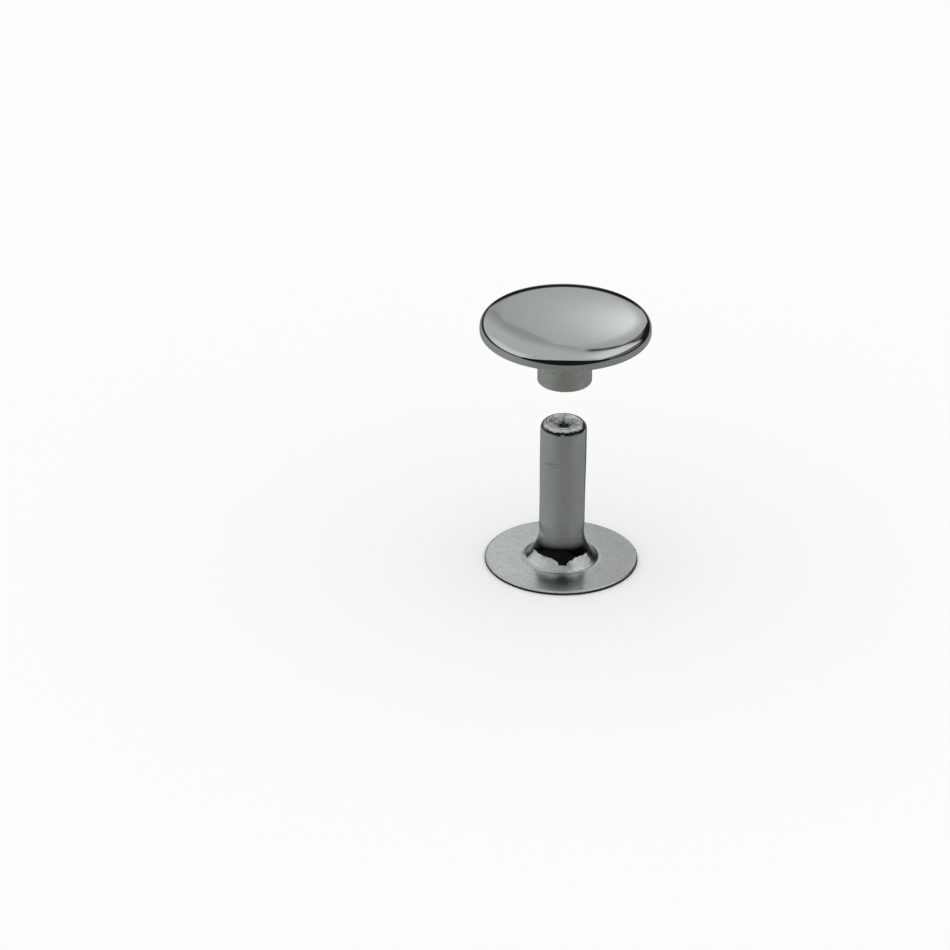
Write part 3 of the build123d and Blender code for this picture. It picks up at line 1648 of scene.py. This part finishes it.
@dataclass(frozen=True)
class Panel:
    """A flat panel of the studio, which isn't part of the rivet.

    Attributes:
        name: its name.
        size: its width, and its length before the turn.
        middle: its middle.
        turn: its turn about the X axis; 0 is level.
    """

    name: str
    size: tuple[float, float]
    middle: tuple[float, float, float] = (0.0, 0.0, 0.0)
    turn: float = 0.0

    def build(self) -> bpy.types.Object:
        """Makes the panel and its material.

        Returns:
            The panel.
        """
        mesh = rectangle(self.size, self.turn, Vector(self.middle))
        data = bpy.data.meshes.new(self.name)
        mesh.to_mesh(data)
        mesh.free()
        panel = bpy.data.objects.new(self.name, data)
        bpy.context.scene.collection.objects.link(panel)
        made = bpy.data.materials.new(self.name)
        made.use_nodes = True
        data.materials.append(made)
        self.dress(Nodes(made.node_tree))
        return panel

    def dress(self, nodes: Nodes) -> None:
        """Builds the material.

        Args:
            nodes: its nodes, still empty.
        """
        raise NotImplementedError


@dataclass(frozen=True)
class Floor(Panel):
    """The pale floor that the camera sees. It is open from below.

    Attributes:
        grey: share of the light that it returns.
    """

    grey: float = 0.95

    def build(self) -> bpy.types.Object:
        """Makes the floor, which the metal doesn't see.

        Returns:
            The floor.
        """
        floor = super().build()
        floor.visible_glossy = False
        return floor

    def dress(self, nodes: Nodes) -> None:
        """Makes the floor plain, and clear from below."""
        shader = nodes.add("ShaderNodeBsdfDiffuse", Color=(self.grey, self.grey, self.grey, 1.0))
        nodes.see_through(shader, nodes.backfacing())


@dataclass(frozen=True)
class Card(Panel):
    """A panel that only the metal sees, as a product table has them round the object."""

    def build(self) -> bpy.types.Object:
        """Makes the card and hides it from all but reflections.

        Returns:
            The card.
        """
        card = super().build()
        card.visible_camera = False
        card.visible_diffuse = False
        card.visible_shadow = False
        return card


@dataclass(frozen=True)
class FloorCard(Card):
    """The grey card that the metal sees in place of the floor, with a hole under the flange.

    A bearing is in degrees to the right of straight towards the camera, and a span of two numbers
    is where a change starts and where it is full. Distances from the axis are in millimetres.

    Attributes:
        grey: its light.
        left: how much lighter it is at the left.
        left_front: span of bearings over which that starts, from the front.
        left_back: span of bearings over which that ends, at the back.
        right: how much lighter it is at the right.
        right_front: span of bearings over which that starts.
        right_back: span of bearings over which that ends.
        shadow: how much darker it is behind the post.
        shadow_start: span of bearings over which that starts.
        shadow_end: span of bearings over which that ends.
        shadow_reach: span of distances over which that ends.
        reach: span of distances over which the card ends at the right.
        left_reach: how much longer the same span is at the left.
        rest: share of the light that is left past its end.
        contact: span of distances over which the painted contact shadow round the flange ends
            outwards.
        contact_light: share of the light left in that painted shadow, at the flange's edge.
        hole: span of distances at which the hole ends.
        warm: hump of bearings that are lit warmly.
        cool_tint: colour of the rest.
        warm_tint: colour of the warm part.
    """

    grey: float = 0.225
    left: float = 0.105
    left_front: tuple[float, float] = (-85.0, -5.0)
    left_back: tuple[float, float] = (-178.0, -125.0)
    right: float = 0.055
    right_front: tuple[float, float] = (15.0, 85.0)
    right_back: tuple[float, float] = (125.0, 178.0)
    shadow: float = 0.85
    shadow_start: tuple[float, float] = (125.0, 155.0)
    shadow_end: tuple[float, float] = (155.0, 178.0)
    shadow_reach: tuple[float, float] = (17.0, 24.0)
    reach: tuple[float, float] = (60.0, 90.0)
    left_reach: tuple[float, float] = (140.0, 210.0)
    rest: float = 0.06
    contact: tuple[float, float] = (4.2, 5.4)
    contact_light: float = 0.1
    hole: tuple[float, float] = (3.9, 4.0)
    warm: tuple[float, float] = (0.0, 40.0)
    cool_tint: tuple[float, float, float] = (0.97, 1.0, 1.0)
    warm_tint: tuple[float, float, float] = (1.0, 0.99, 0.94)

    def dress(self, nodes: Nodes) -> None:
        """Paints the card round the axis.

        Args:
            nodes: its nodes, still empty.
        """
        spot = Spot(nodes)
        bearing = spot.east.combine("ARCTAN2", spot.east, -spot.north) / DEGREE
        away = spot.across / MM
        left = (1 - nodes.step(bearing, *self.left_front)) * nodes.step(bearing, *self.left_back)
        right = nodes.step(bearing, *self.right_front)
        right = right * (1 - nodes.step(bearing, *self.right_back))
        behind = nodes.step(bearing, *self.shadow_start)
        behind = behind * (1 - nodes.step(bearing, *self.shadow_end))
        behind = behind * (1 - nodes.step(away, *self.shadow_reach))
        ends = (
            end + more * (1 - right) for end, more in zip(self.reach, self.left_reach, strict=True)
        )
        far = self.rest + (1 - self.rest) * (1 - nodes.step(away, *ends))
        # Painted contact shadow round the flange, on the card that the metal sees.
        contact = nodes.step(away, *self.contact)
        contact = self.contact_light + (1 - self.contact_light) * contact
        glow = self.grey + self.left * left + self.right * right
        glow = glow * (1 - self.shadow * behind) * far * contact
        tint = nodes.blend(bearing.bell(*self.warm), self.cool_tint, self.warm_tint)
        shader = nodes.add("ShaderNodeEmission", Color=tint, Strength=glow)
        hole = 1 - nodes.step(away, *self.hole)
        nodes.see_through(shader, nodes.backfacing().most(hole))


@dataclass(frozen=True)
class HungCard(Card):
    """A small card that hangs at the cap and moves with it.

    Attributes:
        light: its light.
    """

    light: float = 0.0

    def build(self) -> bpy.types.Object:
        """Makes the card and hangs it at the cap.

        Returns:
            The card.
        """
        card = super().build()
        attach(card, "cap")
        return card


@dataclass(frozen=True)
class FillCard(HungCard):
    """A light card over the post's tip, which shines down only."""

    def dress(self, nodes: Nodes) -> None:
        """Lights the card's lower side."""
        shader = nodes.add("ShaderNodeEmission", Strength=self.light)
        nodes.see_through(shader, 1 - nodes.backfacing())


@dataclass(frozen=True)
class FlagCard(HungCard):
    """A black card upright in front of the cap's rim, with a top that sinks towards its sides.

    Attributes:
        shoulder: height of its sides.
        top: height of its middle.
        bend: width of the hump that its top edge makes.
        soft: half the height of the soft edge.
    """

    shoulder: float = 15.1 * MM
    top: float = 0.0
    bend: float = 4.0 * MM
    soft: float = 0.1 * MM

    def dress(self, nodes: Nodes) -> None:
        """Blackens the card below its top edge.

        Args:
            nodes: its nodes, still empty.
        """
        shader = nodes.add("ShaderNodeEmission", Strength=self.light)
        spot = Spot(nodes)
        edge = self.shoulder + (self.top - self.shoulder) * spot.east.bell(0.0, self.bend)
        nodes.see_through(shader, nodes.step(spot.up, edge - self.soft, edge + self.soft))


class Heading:
    """A direction of the studio: its lift above the horizon and its bearing, in degrees.

    The bearing is to the right of straight away from the camera.
    """

    def __init__(self, nodes: Nodes) -> None:
        """Reads the world's direction.

        Args:
            nodes: the world's nodes.
        """
        way = nodes.add("ShaderNodeTexCoord").outputs["Generated"]
        parts = nodes.add("ShaderNodeSeparateXYZ", Vector=way)
        east, self.north, up = (nodes.value(parts, axis) for axis in "XYZ")
        self.lift = up.combine("ARCSINE", up) / DEGREE
        self.bearing = east.combine("ARCTAN2", east, self.north) / DEGREE


@dataclass(frozen=True)
class Sky:
    """The world: white to the camera, plain light to the floor, and soft panels to the metal.

    A tent of light stands on the horizon. A seam crosses it, above which the light comes from
    overhead, and dark lines run along the seam. All angles are in degrees. A span of two numbers
    is where a change starts and where it is full, a hump of two is the middle and the width of a
    bell curve, and a band of three is its two limits and half the width of its soft edges.

    Attributes:
        background: what the camera sees.
        daylight: what the floor is lit by.
        dark: light of the studio outside the tent.
        tent: light of the tent.
        horizon: lift at which the tent starts.
        horizon_soft: half the width of that edge.
        right_flank: how much higher the tent starts at the right.
        right_flank_span: its span of bearings.
        left_flank: how much lower the tent starts at the left.
        left_flank_span: its span of bearings.
        behind_span: span of bearings, to either side, over which the flanks end behind the camera.
        seam_rise: lift of the seam straight ahead, and its rise with the bearing.
        seam_fall: the same for the part that falls again, at the right.
        seam_bend: how far the bend between the two is rounded.
        seam_edge: span of lifts at the seam.
        seam_end: span of bearings over which the seam ends.
        shade: strength of the soft line that lies on the seam.
        shade_edge: span of lifts at its lower edge.
        shade_fade: lift over which it fades upwards.
        shade_band: its band of bearings.
        line: strength of the sharp line on the seam.
        line_hump: its hump of lifts past the seam.
        line_band: its band of bearings.
        murk: strength of the dark part under the seam.
        murk_band: its band of bearings.
        wall: strength of the darker foot of the same part.
        wall_span: span of lifts over which the foot ends.
        glow: light of the spot straight ahead.
        glow_bearing: its hump of bearings.
        glow_lift: its hump of lifts.
        dusk: how much darker the left of the seam is.
        dusk_bearing: span of bearings over which that ends.
        dusk_lift: span of lifts past the seam over which that ends.
        overhead: how much lighter the tent is overhead.
        overhead_span: its span of lifts past the seam.
        left: light of the panel at the left.
        left_bearing: its band of bearings.
        left_lift: its band of lifts.
        right: light of the panel at the right.
        right_edge: its span of lifts past the seam.
        right_bearing: its band of bearings.
        zenith: span of lifts over which it ends.
        low: light of the low panel at the right, outside the tent.
        low_bearing: its band of bearings.
        low_lift: its band of lifts.
        under: light from below, at either side.
        under_north: how much more there is ahead, and less behind.
        under_span: span of lifts over which it ends.
    """

    background: float = 1.0
    daylight: float = 1.03
    dark: float = 0.012
    tent: float = 0.46
    horizon: float = 11.0
    horizon_soft: float = 2.5
    right_flank: float = 12.0
    right_flank_span: tuple[float, float] = (50.0, 80.0)
    left_flank: float = 4.0
    left_flank_span: tuple[float, float] = (-98.0, -60.0)
    behind_span: tuple[float, float] = (118.0, 152.0)
    seam_rise: tuple[float, float] = (39.2, 1.9)
    seam_fall: tuple[float, float] = (60.0, -0.43)
    seam_bend: float = 30.0
    seam_edge: tuple[float, float] = (-0.5, 1.5)
    seam_end: tuple[float, float] = (55.0, 64.0)
    shade: float = 0.25
    shade_edge: tuple[float, float] = (-1.0, 0.4)
    shade_fade: float = 6.0
    shade_band: tuple[float, float, float] = (-12.0, 5.0, 3.0)
    line: float = 0.99
    line_hump: tuple[float, float] = (0.0, 2.8)
    line_band: tuple[float, float, float] = (9.0, 50.0, 4.0)
    murk: float = 0.72
    murk_band: tuple[float, float, float] = (25.0, 62.0, 1.5)
    wall: float = 0.97
    wall_span: tuple[float, float] = (24.0, 32.0)
    glow: float = 0.44
    glow_bearing: tuple[float, float] = (8.5, 6.5)
    glow_lift: tuple[float, float] = (28.0, 8.0)
    dusk: float = 0.11
    dusk_bearing: tuple[float, float] = (-14.0, 1.0)
    dusk_lift: tuple[float, float] = (0.0, 30.0)
    overhead: float = 0.06
    overhead_span: tuple[float, float] = (2.0, 22.0)
    left: float = 0.20
    left_bearing: tuple[float, float, float] = (-125.0, -55.0, 12.0)
    left_lift: tuple[float, float, float] = (6.0, 44.0, 8.0)
    right: float = 0.25
    right_edge: tuple[float, float] = (1.0, 16.0)
    right_bearing: tuple[float, float, float] = (30.0, 132.0, 12.0)
    zenith: tuple[float, float] = (56.0, 80.0)
    low: float = 0.13
    low_bearing: tuple[float, float, float] = (66.0, 136.0, 8.0)
    low_lift: tuple[float, float, float] = (-2.0, 42.0, 6.0)
    under: float = 0.24
    under_north: float = 0.16
    under_span: tuple[float, float] = (-1.5, -0.5)

    def build(self) -> None:
        """Makes the world."""
        world = bpy.data.worlds.new("studio")
        world.use_nodes = True
        nodes = Nodes(world.node_tree)
        path = nodes.add("ShaderNodeLightPath")
        glossy = nodes.value(path, "Is Glossy Ray")
        seen = nodes.value(path, "Is Camera Ray")
        plain = seen * self.background + (1 - seen) * self.daylight
        strength = glossy * self._panels(nodes) + (1 - glossy) * plain
        shader = nodes.add("ShaderNodeBackground", Color=WHITE, Strength=strength)
        nodes.add("ShaderNodeOutputWorld", Surface=shader.outputs[0])
        world.cycles.sampling_method = "NONE"
        bpy.context.scene.world = world

    def _panels(self, nodes: Nodes) -> Value:
        """Light that the metal sees from each direction.

        Args:
            nodes: the world's nodes.

        Returns:
            The light.
        """
        heading = Heading(nodes)
        past = heading.lift - self._seam(heading.bearing)
        ended = nodes.step(heading.bearing, *self.seam_end)
        beyond = nodes.step(past, *self.seam_edge).most(ended)
        light = self._lit_tent(nodes, heading, past, ended)
        glow = heading.bearing.bell(*self.glow_bearing) * heading.lift.bell(*self.glow_lift)
        light = light + self.glow * glow * (1 - beyond)
        murk = nodes.band(heading.bearing, *self.murk_band) * (1 - beyond)
        wall = murk * (1 - nodes.step(heading.lift, *self.wall_span))
        light = light * self._seam_lines(nodes, heading.bearing, past)
        light = light * (1 - self.murk * murk) * (1 - self.wall * wall)
        tent = self._tent_cover(nodes, heading)
        low = nodes.band(heading.bearing, *self.low_bearing)
        low = self.low * low * nodes.band(heading.lift, *self.low_lift)
        under = 1 - nodes.step(heading.lift, *self.under_span)
        under = under * (self.under + self.under_north * heading.north)
        return self.dark + tent * light + (1 - tent) * low + under

    def _seam(self, bearing: Value) -> Value:
        """Lift of the seam.

        Args:
            bearing: where it is wanted.

        Returns:
            The lift there.
        """
        rising, falling = (
            level + slope * bearing for level, slope in (self.seam_rise, self.seam_fall)
        )
        return rising.combine("SMOOTH_MIN", rising, falling, self.seam_bend)

    def _seam_lines(self, nodes: Nodes, bearing: Value, past: Value) -> Value:
        """What the two dark lines on the seam leave of the light.

        Args:
            nodes: the world's nodes.
            bearing: of the direction.
            past: how far it lies above the seam.

        Returns:
            The share, from 0 to 1.
        """
        fade = past.combine("EXPONENT", -(past.most(0.0) / self.shade_fade))
        shade = self.shade * nodes.step(past, *self.shade_edge) * fade
        shade = shade * nodes.band(bearing, *self.shade_band)
        line = self.line * past.bell(*self.line_hump) * nodes.band(bearing, *self.line_band)
        return (1 - shade) * (1 - line)

    def _lit_tent(self, nodes: Nodes, heading: Heading, past: Value, ended: Value) -> Value:
        """Light of the tent before anything darkens it.

        Args:
            nodes: the world's nodes.
            heading: the direction.
            past: how far it lies above the seam.
            ended: how far it lies past the seam's end.

        Returns:
            The light.
        """
        bearing, lift = heading.bearing, heading.lift
        dusk = 1 - nodes.step(bearing, *self.dusk_bearing)
        dusk = dusk * (1 - nodes.step(past, *self.dusk_lift))
        left = nodes.band(bearing, *self.left_bearing) * nodes.band(lift, *self.left_lift)
        right = nodes.step(past, *self.right_edge).most(ended)
        right = right * nodes.band(bearing, *self.right_bearing)
        right = right * (1 - nodes.step(lift, *self.zenith))
        overhead = nodes.step(past, *self.overhead_span)
        light = self.tent - self.dusk * dusk + self.overhead * overhead
        return light + self.left * left + self.right * right

    def _tent_cover(self, nodes: Nodes, heading: Heading) -> Value:
        """How far a direction lies in the tent: 1 above its foot, and 0 below.

        Args:
            nodes: the world's nodes.
            heading: the direction.

        Returns:
            The cover, from 0 to 1.
        """
        bearing = heading.bearing
        turned = bearing.combine("ABSOLUTE", bearing)
        flank = self.right_flank * nodes.step(bearing, *self.right_flank_span)
        flank = flank - self.left_flank * (1 - nodes.step(bearing, *self.left_flank_span))
        horizon = self.horizon + flank * (1 - nodes.step(turned, *self.behind_span))
        soft = self.horizon_soft
        return nodes.step(heading.lift, horizon - soft, horizon + soft)


@dataclass(frozen=True)
class Studio:
    """The panels round the rivet, and the world.

    Attributes:
        floor_size: width of the floor and of its card.
        card_drop: how far that card lies under the floor.
        fill_level: height of the light card over the tip.
        fill_width: its width.
        fill_span: its front and its back end.
        fill_light: its light.
        flag_distance: how far the black card stands in front of the axis.
        flag_width: its width.
        flag_span: its lowest and its highest level.
        flag_light: its light.
    """

    floor_size: float = 6.0
    card_drop: float = 0.02 * MM
    fill_level: float = 10.58 * MM
    fill_width: float = 8.0 * MM
    fill_span: tuple[float, float] = (-2.3 * MM, 4.4 * MM)
    fill_light: float = 0.55
    flag_distance: float = 7.4 * MM
    flag_width: float = 16.0 * MM
    flag_span: tuple[float, float] = (13.0 * MM, 17.2 * MM)
    flag_light: float = 0.012

    def build(self) -> None:
        """Makes the panels and the world, and reports them."""
        wide = (self.floor_size, self.floor_size)
        fill_front, fill_back = self.fill_span
        flag_low, flag_high = self.flag_span
        panels = [
            Floor("floor", wide),
            FloorCard("floor_card", wide, (0.0, 0.0, -self.card_drop)),
            FillCard(
                "fill_card",
                (self.fill_width, fill_back - fill_front),
                (0.0, (fill_front + fill_back) / 2, self.fill_level),
                light=self.fill_light,
            ),
            FlagCard(
                "flag_card",
                (self.flag_width, flag_high - flag_low),
                (0.0, -self.flag_distance, (flag_low + flag_high) / 2),
                turn=math.pi / 2,
                light=self.flag_light,
                top=flag_high,
            ),
        ]
        for panel in panels:
            log.info("%s: part of the studio", panel.build().name)
        Sky().build()


def reach_of(node: str) -> float:
    """Smallest distance from the axis to a side of a CAD node's box."""
    low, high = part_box(node)
    return min(-low.x, -low.y, high.x, high.y)


def main() -> None:
    """Builds the rivet and its studio, and reports each piece."""
    logging.basicConfig(level=logging.INFO, format="%(name)s: %(message)s")
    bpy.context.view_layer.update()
    bpy.context.scene.view_settings.view_transform = "Standard"
    finish = finishes()
    pieces = [
        Post("post", "post", finish[Plating.SATIN], flange_radius=reach_of("post")),
        CapSocket(
            "cap_socket",
            "cap",
            finish[Plating.BRIGHT],
            facets=FINE_FACETS,
            edge_radius=reach_of("cap_socket"),
        ),
        CapShell(
            "cap_shell",
            "cap",
            finish[Plating.POLISHED],
            facets=FINE_FACETS,
            radius=reach_of("cap_shell"),
        ),
    ]
    for piece in pieces:
        made = piece.build()
        log.info("%s: %d faces", made.name, len(made.data.polygons))
    Studio().build()
    Shot().place_camera()


if __name__ == "__main__":
    main()
